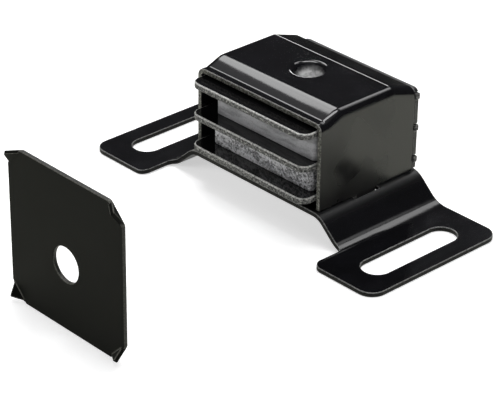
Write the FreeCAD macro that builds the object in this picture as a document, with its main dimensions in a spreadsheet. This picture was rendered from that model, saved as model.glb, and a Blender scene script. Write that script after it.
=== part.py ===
"""Magnetic catch for a cabinet door: a folded strap and cover that hold a stack
of pole plates and ferrite magnets, and the strike plate that goes on the door.

Millimetres. +X runs across the catch, +Z up from the mounting face, and the pole
plates point along -Y, towards the door. The origin lies on the mounting face,
midway between the centres of the two screw slots.
"""
import FreeCAD, Part
import math
import os
import re

import Sketcher

SIZES = (
    ("case_width", 31.4, "cover, across the outsides of its two walls"),
    ("case_depth", 23.1, "cover, front edge to back edge"),
    ("lip_gap", 0.49, "room between the top pole plate and the cover's front lip"),
    ("cover_sheet", 0.9, "sheet that the cover is folded from"),
    ("side_bend", 1.6, "outside radius of the folds between the top and the walls"),
    ("lip_depth", 1.5, "flat lip along the front of the top"),
    ("slope_run", 3.3, "depth of the slope between lip and plateau"),
    ("back_run", 5.4, "depth of the slope behind the plateau"),
    ("back_gap", 0.05, "room between the top pole plate and the cover's back edge"),
    ("plateau_rise", 1.3, "height of the plateau above the lip"),
    ("plateau_bend", 4.0, "radius of the crease along the plateau's front"),
    ("crease_bend", 1.2, "radius of the creases along the lip and the plateau's back"),
    ("dish_flat", 0.9, "radius of a pressed dish's flat floor"),
    ("dish_bowl", 2.0, "radius of the hollow round a dish's floor"),
    ("dish_roll", 1.2, "radius of the roll round a dish's mouth"),
    ("dish_slope", 62.0, "steepness of a dish's side, in degrees"),
    ("dish_setback", 0.7, "the cover's dish, behind the middle of the depth"),
    ("tab_width", 4.6, "clinch tab at the foot of each wall, along the depth"),
    ("tab_fold", 3.2, "length of the clinch tab folded under the strap"),
    ("tab_bend", 0.6, "outside radius of the clinch tab's fold"),
    ("tab_gap_front", 0.95, "room in the strap's slot before the tab"),
    ("tab_gap_back", 0.45, "room in the strap's slot behind the tab"),
    ("tab_gap_inner", 0.1, "room in the strap's slot inside the tab"),
    ("tab_gap_outer", 0.5, "room in the strap's slot outside the tab"),
    ("strap_sheet", 0.9, "sheet that the mounting strap is folded from"),
    ("neck_rise", 4.6, "underside of the raised middle above the mounting face"),
    ("neck_stand", 0.8, "how far the raised middle stands out before the cover"),
    ("neck_bend", 4.2, "top radius of the folds from the middle to the slants"),
    ("slant_run", 5.1, "width of each slant, corner to corner"),
    ("foot_bend", 5.0, "top radius of the folds from the slants to the feet"),
    ("foot_inset", 0.6, "foot's inner edge beyond the slant's lower corner"),
    ("foot_width", 14.15, "flat foot, inner edge to outer edge"),
    ("foot_reach", 7.8, "how far the feet stand out before the cover"),
    ("foot_corner", 3.0, "radius of a foot's outer corners"),
    ("toe_corner", 1.8, "radius of a foot's inner front corner"),
    ("notch_corner", 1.0, "radius in the corner between foot and middle"),
    ("slot_width", 5.5, "screw slot, side to side"),
    ("slot_margin_side", 6.45, "screw slot's middle to the foot's outer edge"),
    ("slot_margin_front", 5.0, "screw slot's end to the foot's front edge"),
    ("slot_margin_back", 5.2, "screw slot's end to the foot's back edge"),
    ("stop_drop", 0.6, "back stop's top below the top of the cover's lip"),
    ("stop_inset", 0.85, "back stop's half width less than the cover's"),
    ("stop_shift", 0.85, "back stop, off centre to the right"),
    ("stop_corner", 2.5, "radius of the back stop's top left corner, twice the right one's"),
    ("stop_bend", 0.5, "inside radius of the back stop's fold"),
    ("relief_width", 0.6, "slit at each end of the back stop's fold"),
    ("relief_depth", 0.7, "slit's length in front of the back stop"),
    ("boss_height", 1.56, "dish pressed up in the strap, which carries the stack"),
    ("plate_thickness", 1.2, "pole plate"),
    ("plate_reach", 2.95, "how far the pole plates stand out before the cover"),
    ("plate_side_gap", 0.25, "room between a pole plate and each wall"),
    ("plate_corner", 2.0, "radius of a pole plate's front corners"),
    ("ear_start", 12.8, "inner side of a pole plate's ears, from the middle"),
    ("ear_reach", 0.35, "how far an ear stands out beyond the wall"),
    ("ear_gap", 0.12, "room round an ear in its notch"),
    ("magnet_thickness", 5.0, "ferrite magnet"),
    ("magnet_side_gap", 2.2, "room between a centred magnet and each wall"),
    ("magnet_setback", 0.25, "magnet's front face behind the cover's front edge"),
    ("magnet_back_gap", 1.05, "room between a magnet and the back stop"),
    ("magnet_corner", 0.9, "radius of a magnet's upright edges"),
    ("upper_shift", 1.4, "upper magnet, off centre to the right"),
    ("lower_shift", 0.7, "lower magnet, off centre to the right"),
    ("strike_size", 28.5, "strike plate, side"),
    ("strike_sheet", 0.8, "strike plate, thickness"),
    ("strike_hole", 6.4, "strike plate, screw hole diameter"),
    ("strike_hole_drop", 2.0, "screw hole below the strike plate's centre"),
    ("strike_distance", 47.1, "strike plate's pole side in front of the pole plates"),
    ("strike_side", 9.6, "strike plate's centre off the catch's middle"),
    ("prong_leg", 3.3, "folded corner, measured along the plate's edges"),
    ("prong_tip", 0.25, "radius of a folded corner's point"),
    ("prong_angle", 50.0, "folded corner, degrees out of the plate"),
)

NAMES = {name for name, _, _ in SIZES}
PLATES = ("pole_plate_bottom", "pole_plate_middle", "pole_plate_top")
MAGNETS = (("magnet_lower", "lower_shift"), ("magnet_upper", "upper_shift"))

NECK_TOP = "neck_rise + strap_sheet"
STACK_BASE = "neck_rise + strap_sheet + boss_height"
STACK_TOP = STACK_BASE + " + 3 * plate_thickness + 2 * magnet_thickness"
LIP_TOP = STACK_TOP + " + lip_gap + cover_sheet"
PLATEAU_TOP = LIP_TOP + " + plateau_rise"
BACK_TOP = STACK_TOP + " + back_gap + cover_sheet"
PITCH = "plate_thickness + magnet_thickness"
HALF_TURN = "(sqrt(slant_run ^ 2 + neck_rise ^ 2) - slant_run) / neck_rise"
NECK_EDGE = "case_width / 2 - cover_sheet"
NECK_CORNER = "case_width / 2 - cover_sheet + neck_bend * " + HALF_TURN
FOOT_CORNER = NECK_CORNER + " + slant_run"
FOOT_INNER = FOOT_CORNER + " + foot_inset"
FOOT_OUTER = FOOT_INNER + " + foot_width"
STRAP_BACK = "case_depth + strap_sheet"
SLOT_SIDE = FOOT_OUTER + " - slot_margin_side"
SLOT_LENGTH = STRAP_BACK + " + foot_reach - slot_margin_front - slot_margin_back"
SLOT_SETBACK = "slot_margin_front - foot_reach + (" + SLOT_LENGTH + ") / 2"
STOP_FOLD = "case_width / 2 - cover_sheet - relief_width - stop_inset - tab_gap_inner"
EAR_END = "case_width / 2 + ear_reach"
BEYOND = 3.0

document = FreeCAD.newDocument("magnetic_catch")
sheet = document.addObject("Spreadsheet::Sheet", "sizes")
for row, (alias, value, note) in enumerate(SIZES, start=1):
    sheet.set(f"A{row}", alias)
    sheet.set(f"B{row}", str(value))
    sheet.set(f"C{row}", note)
    sheet.setAlias(f"B{row}", alias)
document.recompute()


def linked(text):
    """Writes each size's name in an expression as its cell in the sheet."""
    return re.sub(r"[a-z_]+", lambda m: "sizes." + m[0] if m[0] in NAMES else m[0], text)


def number(text):
    """Works out an expression from the sheet."""
    return float(sheet.evalExpression(linked(text)))


def new_body(name, x="0", y="0", z="0"):
    """Starts a sub-part, placed from the cover's front edge on the mounting face."""
    body = document.addObject("PartDesign::Body", name)
    body.Label = name
    body.setExpression("Placement.Base.x", linked(x))
    body.setExpression("Placement.Base.y", linked(f"{y} - ({SLOT_SETBACK})"))
    body.setExpression("Placement.Base.z", linked(z))
    return body


def origin_part(body, role):
    """Finds one of the body's own origin planes or axes."""
    return next(part for part in body.Origin.OriginFeatures if part.Role == role)


def new_sketch(body, name, plane, offset=("0", "0", "0"), turn=FreeCAD.Rotation()):
    """Attaches a sketch to an origin plane, moved and turned in that plane's frame."""
    sketch = body.newObject("Sketcher::SketchObject", name)
    sketch.AttachmentSupport = [(origin_part(body, plane), "")]
    sketch.MapMode = "FlatFace"
    sketch.AttachmentOffset = FreeCAD.Placement(FreeCAD.Vector(), turn)
    for axis, text in zip("xyz", offset):
        sketch.setExpression(f"AttachmentOffset.Base.{axis}", linked(text))
    return sketch


def size(sketch, kind, where, text):
    """Adds a dimension that follows the sheet."""
    index = sketch.addConstraint(Sketcher.Constraint(kind, *where, number(text)))
    sketch.setExpression(f"Constraints[{index}]", linked(text))


def place(sketch, point, x, y):
    """Fixes a point of the sketch at two coordinates that follow the sheet."""
    for kind, axis, text in (("DistanceX", -2, x), ("DistanceY", -1, y)):
        if text == "0":
            sketch.addConstraint(Sketcher.Constraint("PointOnObject", *point, axis))
        else:
            size(sketch, kind, point, text)


def rounding(before, corner, after, radius):
    """Returns where a corner's arc starts and ends, and the arc's centre."""
    back = (before - corner).normalize()
    ahead = (after - corner).normalize()
    half = back.getAngle(ahead) / 2
    centre = corner + (back + ahead).normalize() * (radius / math.sin(half))
    reach = radius / math.tan(half)
    return corner + back * reach, corner + ahead * reach, centre


def outline(sketch, corners):
    """Draws a closed outline through (x, y) or (x, y, radius) corners."""
    points = [FreeCAD.Vector(number(c[0]), number(c[1]), 0) for c in corners]
    count = len(points)
    spans = []
    for i, corner in enumerate(corners):
        if len(corner) == 2:
            spans.append((points[i], points[i], None))
        else:
            after = points[(i + 1) % count]
            spans.append(rounding(points[i - 1], points[i], after, number(corner[2])))
    for i in range(count):
        sketch.addGeometry(Part.LineSegment(spans[i][1], spans[(i + 1) % count][0]), False)
    for i, corner in enumerate(corners):
        line_in, line_out = (i - 1) % count, i
        if len(corner) == 2:
            sketch.addConstraint(Sketcher.Constraint("Coincident", line_in, 2, line_out, 1))
            place(sketch, (line_out, 1), corner[0], corner[1])
            continue
        start, end, centre = spans[i]
        from_start = math.atan2(start.y - centre.y, start.x - centre.x)
        from_end = math.atan2(end.y - centre.y, end.x - centre.x)
        forward = (start - centre).cross(end - centre).z > 0
        angles = (from_start, from_end) if forward else (from_end, from_start)
        circle = Part.Circle(centre, FreeCAD.Vector(0, 0, 1), number(corner[2]))
        arc = sketch.addGeometry(Part.ArcOfCircle(circle, *angles), False)
        first, last = (1, 2) if forward else (2, 1)
        mark = sketch.addGeometry(Part.Point(points[i]), True)
        sketch.addConstraint(Sketcher.Constraint("Tangent", line_in, 2, arc, first))
        sketch.addConstraint(Sketcher.Constraint("Tangent", arc, last, line_out, 1))
        sketch.addConstraint(Sketcher.Constraint("PointOnObject", mark, 1, line_in))
        sketch.addConstraint(Sketcher.Constraint("PointOnObject", mark, 1, line_out))
        place(sketch, (mark, 1), corner[0], corner[1])
        size(sketch, "Radius", (arc,), corner[2])
    if sketch.solve() != 0:
        raise RuntimeError(f"{sketch.Label} doesn't solve")
    return sketch


def extrude(body, kind, name, sketch, length, symmetric=False, backwards=False):
    """Pads or pockets a sketch by a length that follows the sheet."""
    feature = body.newObject(f"PartDesign::{kind}", name)
    feature.Profile = sketch
    feature.SideType = "Symmetric" if symmetric else "One side"
    feature.Reversed = backwards
    feature.setExpression("Length", linked(length))
    return feature


def cut_through(body, name, sketch):
    """Pockets a sketch of the XY plane through the whole height of the piece."""
    before = body.Tip.Shape.Volume
    feature = body.newObject("PartDesign::Pocket", name)
    feature.Profile = sketch
    feature.SideType = "Symmetric"
    feature.Type = "ThroughAll"
    document.recompute()
    if feature.Shape.Volume >= before:
        raise RuntimeError(f"{name} cuts nothing")
    return feature


def spin(body, kind, name, sketch):
    """Turns a sketch about its own upright axis, adding or cutting."""
    feature = body.newObject(f"PartDesign::{kind}", name)
    feature.Profile = sketch
    feature.ReferenceAxis = (sketch, ["V_Axis"])
    feature.Angle = 360
    return feature


def mirror(body, name, feature):
    """Repeats a feature on the other side of the catch's middle."""
    copy = body.newObject("PartDesign::Mirrored", name)
    copy.Originals = [feature]
    copy.MirrorPlane = (origin_part(body, "YZ_Plane"), [""])
    body.Tip = copy
    return copy


def round_edges(body, name, radius, chosen):
    """Rounds the edges for which chosen(edge's box) is true."""
    document.recompute()
    base = body.Tip
    edges = [f"Edge{i}" for i, edge in enumerate(base.Shape.Edges, start=1)
             if chosen(edge.BoundBox)]
    if not edges:
        raise RuntimeError(f"{name} finds no edge")
    feature = body.newObject("PartDesign::Fillet", name)
    feature.Base = (base, edges)
    feature.setExpression("Radius", linked(radius))
    return feature


def near(value, wanted):
    """Tells whether two lengths are the same."""
    return abs(value - wanted) < 1e-4


def pressed_dish(body, middle_y, level, sheet_name, drop, direction):
    """Presses a dish into a flat sheet: level is its dished face, direction -1 is down."""
    centre = (middle_y, level, "0")
    floor = "(dish_flat + dish_bowl * tan(dish_slope / 2 * 1 deg))"
    rim = f"({floor} + ({drop}) / tan(dish_slope * 1 deg))"
    edge = f"{rim} + dish_roll"
    side = f"{direction} * "
    inside = side + sheet_name
    far = side + f"({sheet_name} + {drop})"
    near_floor = side + f"({drop})"
    middle = side + f"{sheet_name} / 2"
    cup = outline(new_sketch(body, body.Label + "_cup", "YZ_Plane", centre), (
        ("0", middle),
        (edge, middle),
        (edge, inside),
        (rim, inside, "dish_roll"),
        (floor, far, "dish_bowl"),
        ("0", far)))
    spin(body, "Revolution", body.Label + "_cup_turn", cup)
    hollow = outline(new_sketch(body, body.Label + "_hollow", "YZ_Plane", centre), (
        ("0", f"-{direction} * {BEYOND}"),
        (edge, f"-{direction} * {BEYOND}"),
        (edge, "0"),
        (rim, "0", "dish_roll"),
        (floor, near_floor, "dish_bowl"),
        ("0", near_floor)))
    spin(body, "Groove", body.Label + "_hollow_turn", hollow)


def cover_profile(drop, overhang, foot):
    """Side outline of the cover's top, lowered by drop and closed at the level foot."""
    lip = f"{LIP_TOP} - {drop}"
    plateau = f"{PLATEAU_TOP} - {drop}"
    fall = f"({PLATEAU_TOP} - ({BACK_TOP})) * (1 + {overhang} / back_run)"
    return (
        (f"-{overhang}", foot),
        (f"-{overhang}", lip),
        ("lip_depth", lip, "crease_bend"),
        ("lip_depth + slope_run", plateau, "plateau_bend"),
        ("case_depth - back_run", plateau, "crease_bend"),
        (f"case_depth + {overhang}", f"{plateau} - {fall}"),
        (f"case_depth + {overhang}", foot))


def make_cover():
    """Folded cover: a top with a formed plateau and a dish, and two clinched walls."""
    body = new_body("cover")
    wall = number("case_width / 2")
    inner = number("case_width / 2 - cover_sheet")
    shoulder = number(LIP_TOP) - number("cover_sheet")
    shell = outline(new_sketch(body, "cover_side", "YZ_Plane"),
                    cover_profile("0", "0", NECK_TOP))
    extrude(body, "Pad", "cover_block", shell, "case_width", symmetric=True)
    round_edges(body, "cover_folds", "side_bend", lambda box: (
        near(abs(box.XMin), wall) and near(box.XLength, 0) and box.ZMin > shoulder))
    hollow = outline(new_sketch(body, "cover_inside", "YZ_Plane"),
                     cover_profile("cover_sheet", str(BEYOND), f"{NECK_TOP} - {BEYOND}"))
    extrude(body, "Pocket", "cover_hollow", hollow, "case_width - 2 * cover_sheet",
            symmetric=True)
    round_edges(body, "cover_fold_insides", "side_bend - cover_sheet", lambda box: (
        near(abs(box.XMin), inner) and near(box.XLength, 0)
        and box.ZMin > shoulder - number("cover_sheet")))
    tab = outline(new_sketch(body, "tab_section", "XZ_Plane", ("0", "0", "-case_depth / 2")), (
        ("case_width / 2", f"{NECK_TOP} + cover_sheet"),
        ("case_width / 2", "neck_rise - cover_sheet", "tab_bend"),
        ("case_width / 2 - tab_fold", "neck_rise - cover_sheet"),
        ("case_width / 2 - tab_fold", "neck_rise"),
        (NECK_EDGE, "neck_rise"),
        (NECK_EDGE, f"{NECK_TOP} + cover_sheet")))
    mirror(body, "tab_left", extrude(body, "Pad", "tab_right", tab, "tab_width", symmetric=True))
    pressed_dish(body, "case_depth / 2 + dish_setback", PLATEAU_TOP, "cover_sheet",
                 "lip_gap + plateau_rise", "-1")
    return body


def strap_section():
    """Section of the strap: feet, slants and raised middle, of one thickness."""
    end = FOOT_OUTER
    shift = f"strap_sheet * {HALF_TURN}"
    right = (
        (NECK_CORNER, NECK_TOP, "neck_bend"),
        (FOOT_CORNER, "strap_sheet", "foot_bend"),
        (end, "strap_sheet"),
        (end, "0"),
        (f"{FOOT_CORNER} - {shift}", "0", "foot_bend + strap_sheet"),
        (f"{NECK_CORNER} - {shift}", "neck_rise", "neck_bend - strap_sheet"))
    left = tuple((f"-({corner[0]})",) + corner[1:] for corner in reversed(right))
    return right + left


def slot_outline(sketch, x, y, length, width):
    """Draws a slot with round ends that runs along the sketch's y."""
    radius = number(width) / 2
    reach = number(length) / 2 - radius
    up = FreeCAD.Vector(0, 0, 1)
    middle = FreeCAD.Vector(number(x), number(y), 0)
    ends = []
    for sign, angles in ((1, (0, math.pi)), (-1, (math.pi, 2 * math.pi))):
        centre = middle + FreeCAD.Vector(0, sign * reach, 0)
        arc = Part.ArcOfCircle(Part.Circle(centre, up, radius), *angles)
        ends.append(sketch.addGeometry(arc, False))
        place(sketch, (ends[-1], 3), x, f"{y} + {sign} * ({length} - {width}) / 2")
    for first, second in (((0, 2), (1, 1)), ((1, 2), (0, 1))):
        start = sketch.getPoint(ends[first[0]], first[1])
        stop = sketch.getPoint(ends[second[0]], second[1])
        line = sketch.addGeometry(Part.LineSegment(start, stop), False)
        sketch.addConstraint(Sketcher.Constraint("Tangent", ends[first[0]], first[1], line, 1))
        sketch.addConstraint(Sketcher.Constraint("Tangent", line, 2, ends[second[0]], second[1]))
    size(sketch, "Radius", (ends[0],), f"{width} / 2")
    if sketch.solve() != 0:
        raise RuntimeError(f"{sketch.Label} doesn't solve")
    return sketch


def make_strap():
    """Mounting strap: feet with screw slots, raised middle, boss and back stop."""
    body = new_body("base_strap")
    back = number(STRAP_BACK)
    front = -number("foot_reach")
    outer = number(FOOT_OUTER)
    inner = number(FOOT_INNER)
    section = outline(new_sketch(body, "strap_section", "XZ_Plane",
                                 ("0", "0", f"-({STRAP_BACK})")), strap_section())
    extrude(body, "Pad", "strap", section, STRAP_BACK + " + foot_reach")
    document.recompute()
    notch = outline(new_sketch(body, "notch_outline", "XY_Plane"), (
        (f"-({FOOT_INNER})", f"-foot_reach - {BEYOND}"),
        (f"-({FOOT_INNER})", "-neck_stand", "notch_corner"),
        (FOOT_INNER, "-neck_stand", "notch_corner"),
        (FOOT_INNER, f"-foot_reach - {BEYOND}")))
    cut_through(body, "notch", notch)
    slot = slot_outline(new_sketch(body, "slot_outline", "XY_Plane"),
                        SLOT_SIDE, SLOT_SETBACK, SLOT_LENGTH, "slot_width")
    mirror(body, "screw_slots", cut_through(body, "screw_slot", slot))
    document.recompute()
    tab_slot = outline(new_sketch(body, "tab_slot_outline", "XY_Plane"), (
        (f"{NECK_EDGE} - tab_gap_inner", "case_depth / 2 - tab_width / 2 - tab_gap_front"),
        ("case_width / 2 + tab_gap_outer", "case_depth / 2 - tab_width / 2 - tab_gap_front"),
        ("case_width / 2 + tab_gap_outer", "case_depth / 2 + tab_width / 2 + tab_gap_back"),
        (f"{NECK_EDGE} - tab_gap_inner", "case_depth / 2 + tab_width / 2 + tab_gap_back")))
    mirror(body, "tab_slots", cut_through(body, "tab_slot", tab_slot))
    document.recompute()
    relief = outline(new_sketch(body, "relief_outline", "XY_Plane"), (
        (STOP_FOLD, "case_depth - relief_depth"),
        (f"{STOP_FOLD} + relief_width", "case_depth - relief_depth"),
        (f"{STOP_FOLD} + relief_width", f"{STRAP_BACK} + {BEYOND}"),
        (STOP_FOLD, f"{STRAP_BACK} + {BEYOND}")))
    mirror(body, "relief_slits", cut_through(body, "relief_slit", relief))
    round_edges(body, "foot_corners", "foot_corner", lambda box: (
        near(box.XLength + box.YLength, 0) and near(abs(box.XMin), outer)))
    round_edges(body, "toe_corners", "toe_corner", lambda box: (
        near(box.XLength + box.YLength, 0) and near(abs(box.XMin), inner)
        and near(box.YMin, front)))
    wing = f"{NECK_TOP} + relief_width / 2"
    top = f"{LIP_TOP} - stop_drop"
    half = "case_width / 2 - stop_inset"
    right = f"{half} + stop_shift"
    left = f"stop_shift - ({half})"
    stop = outline(new_sketch(body, "stop_outline", "XZ_Plane",
                              ("0", "0", f"-({STRAP_BACK})")), (
        (f"-({STOP_FOLD})", "neck_rise"),
        (STOP_FOLD, "neck_rise"),
        (STOP_FOLD, wing),
        (right, wing),
        (right, top, "stop_corner / 2"),
        (left, top, "stop_corner"),
        (left, wing),
        (f"-({STOP_FOLD})", wing)))
    extrude(body, "Pad", "back_stop", stop, "strap_sheet")
    fold = number(STOP_FOLD)
    round_edges(body, "stop_fold_inside", "stop_bend", lambda box: (
        near(box.XMax, fold) and near(box.XMin, -fold) and near(box.ZMax, number(NECK_TOP))
        and near(box.YMax, number("case_depth"))))
    round_edges(body, "stop_fold_outside", "stop_bend + strap_sheet", lambda box: (
        near(box.XMax, fold) and near(box.XMin, -fold) and near(box.ZMax, number("neck_rise"))
        and near(box.YMax, back)))
    for index in range(3):
        notch = outline(new_sketch(body, f"ear_notch_outline_{index}", "XZ_Plane",
                                   ("0", "0", f"-({STRAP_BACK} + {BEYOND})")), (
            ("ear_start - ear_gap", f"{STACK_BASE} + {index} * ({PITCH}) - ear_gap"),
            (f"{EAR_END} + {BEYOND}", f"{STACK_BASE} + {index} * ({PITCH}) - ear_gap"),
            (f"{EAR_END} + {BEYOND}",
             f"{STACK_BASE} + {index} * ({PITCH}) + plate_thickness + ear_gap"),
            ("ear_start - ear_gap",
             f"{STACK_BASE} + {index} * ({PITCH}) + plate_thickness + ear_gap")))
        cut = extrude(body, "Pocket", f"ear_notch_{index}", notch, f"strap_sheet + {BEYOND}",
                      backwards=True)
        mirror(body, f"ear_notches_{index}", cut)
    pressed_dish(body, "case_depth / 2", "neck_rise", "strap_sheet", "boss_height", "1")
    return body


def make_pole_plate(name, index):
    """Steel pole plate: rounded front corners, and ears in the back stop's notches."""
    body = new_body(name, z=f"{STACK_BASE} + {index} * ({PITCH})")
    side = f"{NECK_EDGE} - plate_side_gap"
    shape = outline(new_sketch(body, name + "_outline", "XY_Plane"), (
        (f"-({side})", "-plate_reach", "plate_corner"),
        (side, "-plate_reach", "plate_corner"),
        (side, "case_depth"),
        (EAR_END, "case_depth"),
        (EAR_END, STRAP_BACK),
        ("ear_start", STRAP_BACK),
        ("ear_start", "case_depth"),
        ("-ear_start", "case_depth"),
        ("-ear_start", STRAP_BACK),
        (f"-({EAR_END})", STRAP_BACK),
        (f"-({EAR_END})", "case_depth"),
        (f"-({side})", "case_depth")))
    extrude(body, "Pad", name + "_blank", shape, "plate_thickness")
    return body


def make_magnet(name, index, shift):
    """Ferrite block between two pole plates, with softened upright edges."""
    body = new_body(name, x=shift, y="magnet_setback",
                    z=f"{STACK_BASE} + plate_thickness + {index} * ({PITCH})")
    side = f"{NECK_EDGE} - magnet_side_gap"
    depth = "case_depth - magnet_setback - magnet_back_gap"
    shape = outline(new_sketch(body, name + "_outline", "XY_Plane"), (
        (f"-({side})", "0", "magnet_corner"),
        (side, "0", "magnet_corner"),
        (side, depth, "magnet_corner"),
        (f"-({side})", depth, "magnet_corner")))
    extrude(body, "Pad", name + "_block", shape, "magnet_thickness")
    return body


def make_strike():
    """Strike plate for the door: square sheet, screw hole, four corners folded out."""
    body = new_body("strike_plate", x="strike_side", y="-plate_reach - strike_distance",
                    z="strike_size / 2")
    edge = "strike_size / 2"
    cut = "strike_size / 2 - prong_leg"
    right_top = [(edge, cut), (cut, edge)]
    left_top = [(f"-({cut})", edge), (f"-({edge})", cut)]
    left_low = [(f"-({edge})", f"-({cut})"), (f"-({cut})", f"-({edge})")]
    right_low = [(cut, f"-({edge})"), (edge, f"-({cut})")]
    blank = outline(new_sketch(body, "strike_outline", "XZ_Plane"),
                    right_top + left_top + left_low + right_low)
    extrude(body, "Pad", "strike_blank", blank, "strike_sheet")
    fold = FreeCAD.Rotation(FreeCAD.Vector(0, 0, 1), -45)
    lift = FreeCAD.Rotation(FreeCAD.Vector(1, 0, 0), number("prong_angle"))
    middle = "strike_size / 2 - prong_leg / 2"
    prong = outline(new_sketch(body, "prong_outline", "XZ_Plane", (middle, middle, "0"),
                               fold * lift), (
        ("-prong_leg / sqrt(2)", "0"),
        ("prong_leg / sqrt(2)", "0"),
        ("0", "prong_leg / sqrt(2)", "prong_tip")))
    point = extrude(body, "Pad", "prong", prong, "strike_sheet")
    pattern = body.newObject("PartDesign::PolarPattern", "prongs")
    pattern.Originals = [point]
    pattern.Axis = (origin_part(body, "Y_Axis"), [""])
    pattern.Angle = 360
    pattern.Occurrences = 4
    body.Tip = pattern
    document.recompute()
    hole = new_sketch(body, "hole_outline", "XZ_Plane")
    centre = FreeCAD.Vector(0, -number("strike_hole_drop"), 0)
    ring = hole.addGeometry(Part.Circle(centre, FreeCAD.Vector(0, 0, 1),
                                        number("strike_hole / 2")), False)
    place(hole, (ring, 3), "0", "-strike_hole_drop")
    size(hole, "Radius", (ring,), "strike_hole / 2")
    cut_through(body, "screw_hole", hole)
    return body


def check(bodies):
    """Stops if any object failed or any sub-part isn't one sound solid."""
    for item in document.Objects:
        if {"Invalid", "Error"} & set(item.State):
            raise RuntimeError(f"{item.Label}: {item.State}")
    for body in bodies:
        shape = body.Shape
        if shape.isNull() or not shape.isValid() or len(shape.Solids) != 1:
            raise RuntimeError(f"{body.Label} isn't one valid solid")


def main():
    """Builds every sub-part, checks it and writes its STEP file."""
    bodies = [make_cover(), make_strap()]
    for index, name in enumerate(PLATES):
        bodies.append(make_pole_plate(name, index))
    for index, (name, shift) in enumerate(MAGNETS):
        bodies.append(make_magnet(name, index, shift))
    bodies.append(make_strike())
    document.recompute()
    check(bodies)
    os.makedirs("parts", exist_ok=True)
    for body in bodies:
        body.Shape.exportStep(f"parts/{body.Label}.step")
        box = body.Shape.BoundBox
        print(f"{body.Label}: {body.Shape.Volume:.1f} mm3, "
              f"x {box.XMin:.2f} to {box.XMax:.2f}, y {box.YMin:.2f} to {box.YMax:.2f}, "
              f"z {box.ZMin:.2f} to {box.ZMax:.2f}")


main()
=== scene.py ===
"""Looks, light and camera for a magnetic cabinet catch with its strike plate.

The catch is folded from sheet steel under a black electro-dipped coat. A cover
clinches a stack of three pole plates and two ferrite blocks to a slotted strap,
and a loose strike plate stands in front of it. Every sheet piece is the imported
solid with its cut edges eased the way a coat rounds them. The frame is the
part's own: metres, +X across the catch, +Z up from the mounting face.
"""
from __future__ import annotations

import logging
import math
from dataclasses import dataclass, field
from enum import Enum
from typing import Any, Callable

import bmesh
import bpy
from mathutils import Matrix, Vector


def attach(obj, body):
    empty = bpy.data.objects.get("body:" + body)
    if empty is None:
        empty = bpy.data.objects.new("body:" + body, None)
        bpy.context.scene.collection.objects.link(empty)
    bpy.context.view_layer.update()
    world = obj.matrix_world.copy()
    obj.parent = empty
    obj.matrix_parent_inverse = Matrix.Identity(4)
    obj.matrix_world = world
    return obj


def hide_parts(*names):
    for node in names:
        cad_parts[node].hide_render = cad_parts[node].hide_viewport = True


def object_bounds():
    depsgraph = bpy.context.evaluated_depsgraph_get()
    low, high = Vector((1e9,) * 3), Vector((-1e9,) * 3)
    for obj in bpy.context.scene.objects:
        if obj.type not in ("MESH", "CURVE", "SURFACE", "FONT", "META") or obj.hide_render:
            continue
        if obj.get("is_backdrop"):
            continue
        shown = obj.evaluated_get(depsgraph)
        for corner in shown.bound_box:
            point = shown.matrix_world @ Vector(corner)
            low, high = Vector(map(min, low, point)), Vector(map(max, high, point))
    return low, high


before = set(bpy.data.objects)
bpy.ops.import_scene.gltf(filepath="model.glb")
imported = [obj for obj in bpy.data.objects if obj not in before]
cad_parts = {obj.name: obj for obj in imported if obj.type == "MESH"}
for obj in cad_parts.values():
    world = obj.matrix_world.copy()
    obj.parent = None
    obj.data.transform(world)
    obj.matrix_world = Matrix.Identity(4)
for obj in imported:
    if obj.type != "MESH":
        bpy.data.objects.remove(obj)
CAD_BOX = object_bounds()
MM = 0.001
LOG = logging.getLogger("magnetic_catch")

Tree = bpy.types.NodeTree
Node = bpy.types.Node
# What can feed a socket
Feed = Node | bpy.types.NodeSocket
# A pair of numbers, usually where something starts and where it is complete
Span = tuple[float, float]
Place = tuple[float, float, float]

# Settings that many nodes share, and white light. A Map Range node takes its value at socket 0,
# its span at 1 and 2 and the results at 3 and 4. A Mix node takes its share at 0, and two numbers
# at 2 and 3 or two colours at 6 and 7.
SMOOTH = {"interpolation_type": "SMOOTHSTEP"}
COLOUR = {"data_type": "RGBA"}
WHITE = (1.0, 1.0, 1.0, 1.0)


# Small helpers


def linear(code: str) -> tuple[float, float, float, float]:
    """Turns an sRGB hex colour into linear light.

    Args:
        code: Colour as six hex digits.

    Returns:
        Red, green and blue in linear light, and an opacity of 1.
    """
    parts = [int(code[i:i + 2], 16) / 255 for i in (0, 2, 4)]
    light = [c / 12.92 if c <= 0.04045 else ((c + 0.055) / 1.055) ** 2.4 for c in parts]
    return light[0], light[1], light[2], 1.0


def add_node(tree: Tree, kind: str, inputs: dict[Any, Any] | None = None, **settings: Any) -> Node:
    """Adds a node with its settings, values and links.

    Args:
        tree: Node tree that takes the node.
        kind: Node type name.
        inputs: What goes into a socket, by the socket's name or index: a value, an output, or
            a node, which stands for its first output in use. A tuple of indices takes a tuple.
        settings: Properties of the node.

    Returns:
        The new node.
    """
    made = tree.nodes.new(kind)
    for name, value in settings.items():
        setattr(made, name, value)
    for key, given in (inputs or {}).items():
        for socket, value in zip(key, given) if isinstance(key, tuple) else ((key, given),):
            if isinstance(value, Node):
                value = next(output for output in value.outputs if output.enabled)
            if isinstance(value, bpy.types.NodeSocket):
                tree.links.new(value, made.inputs[socket])
            else:
                made.inputs[socket].default_value = value
    return made


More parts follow.
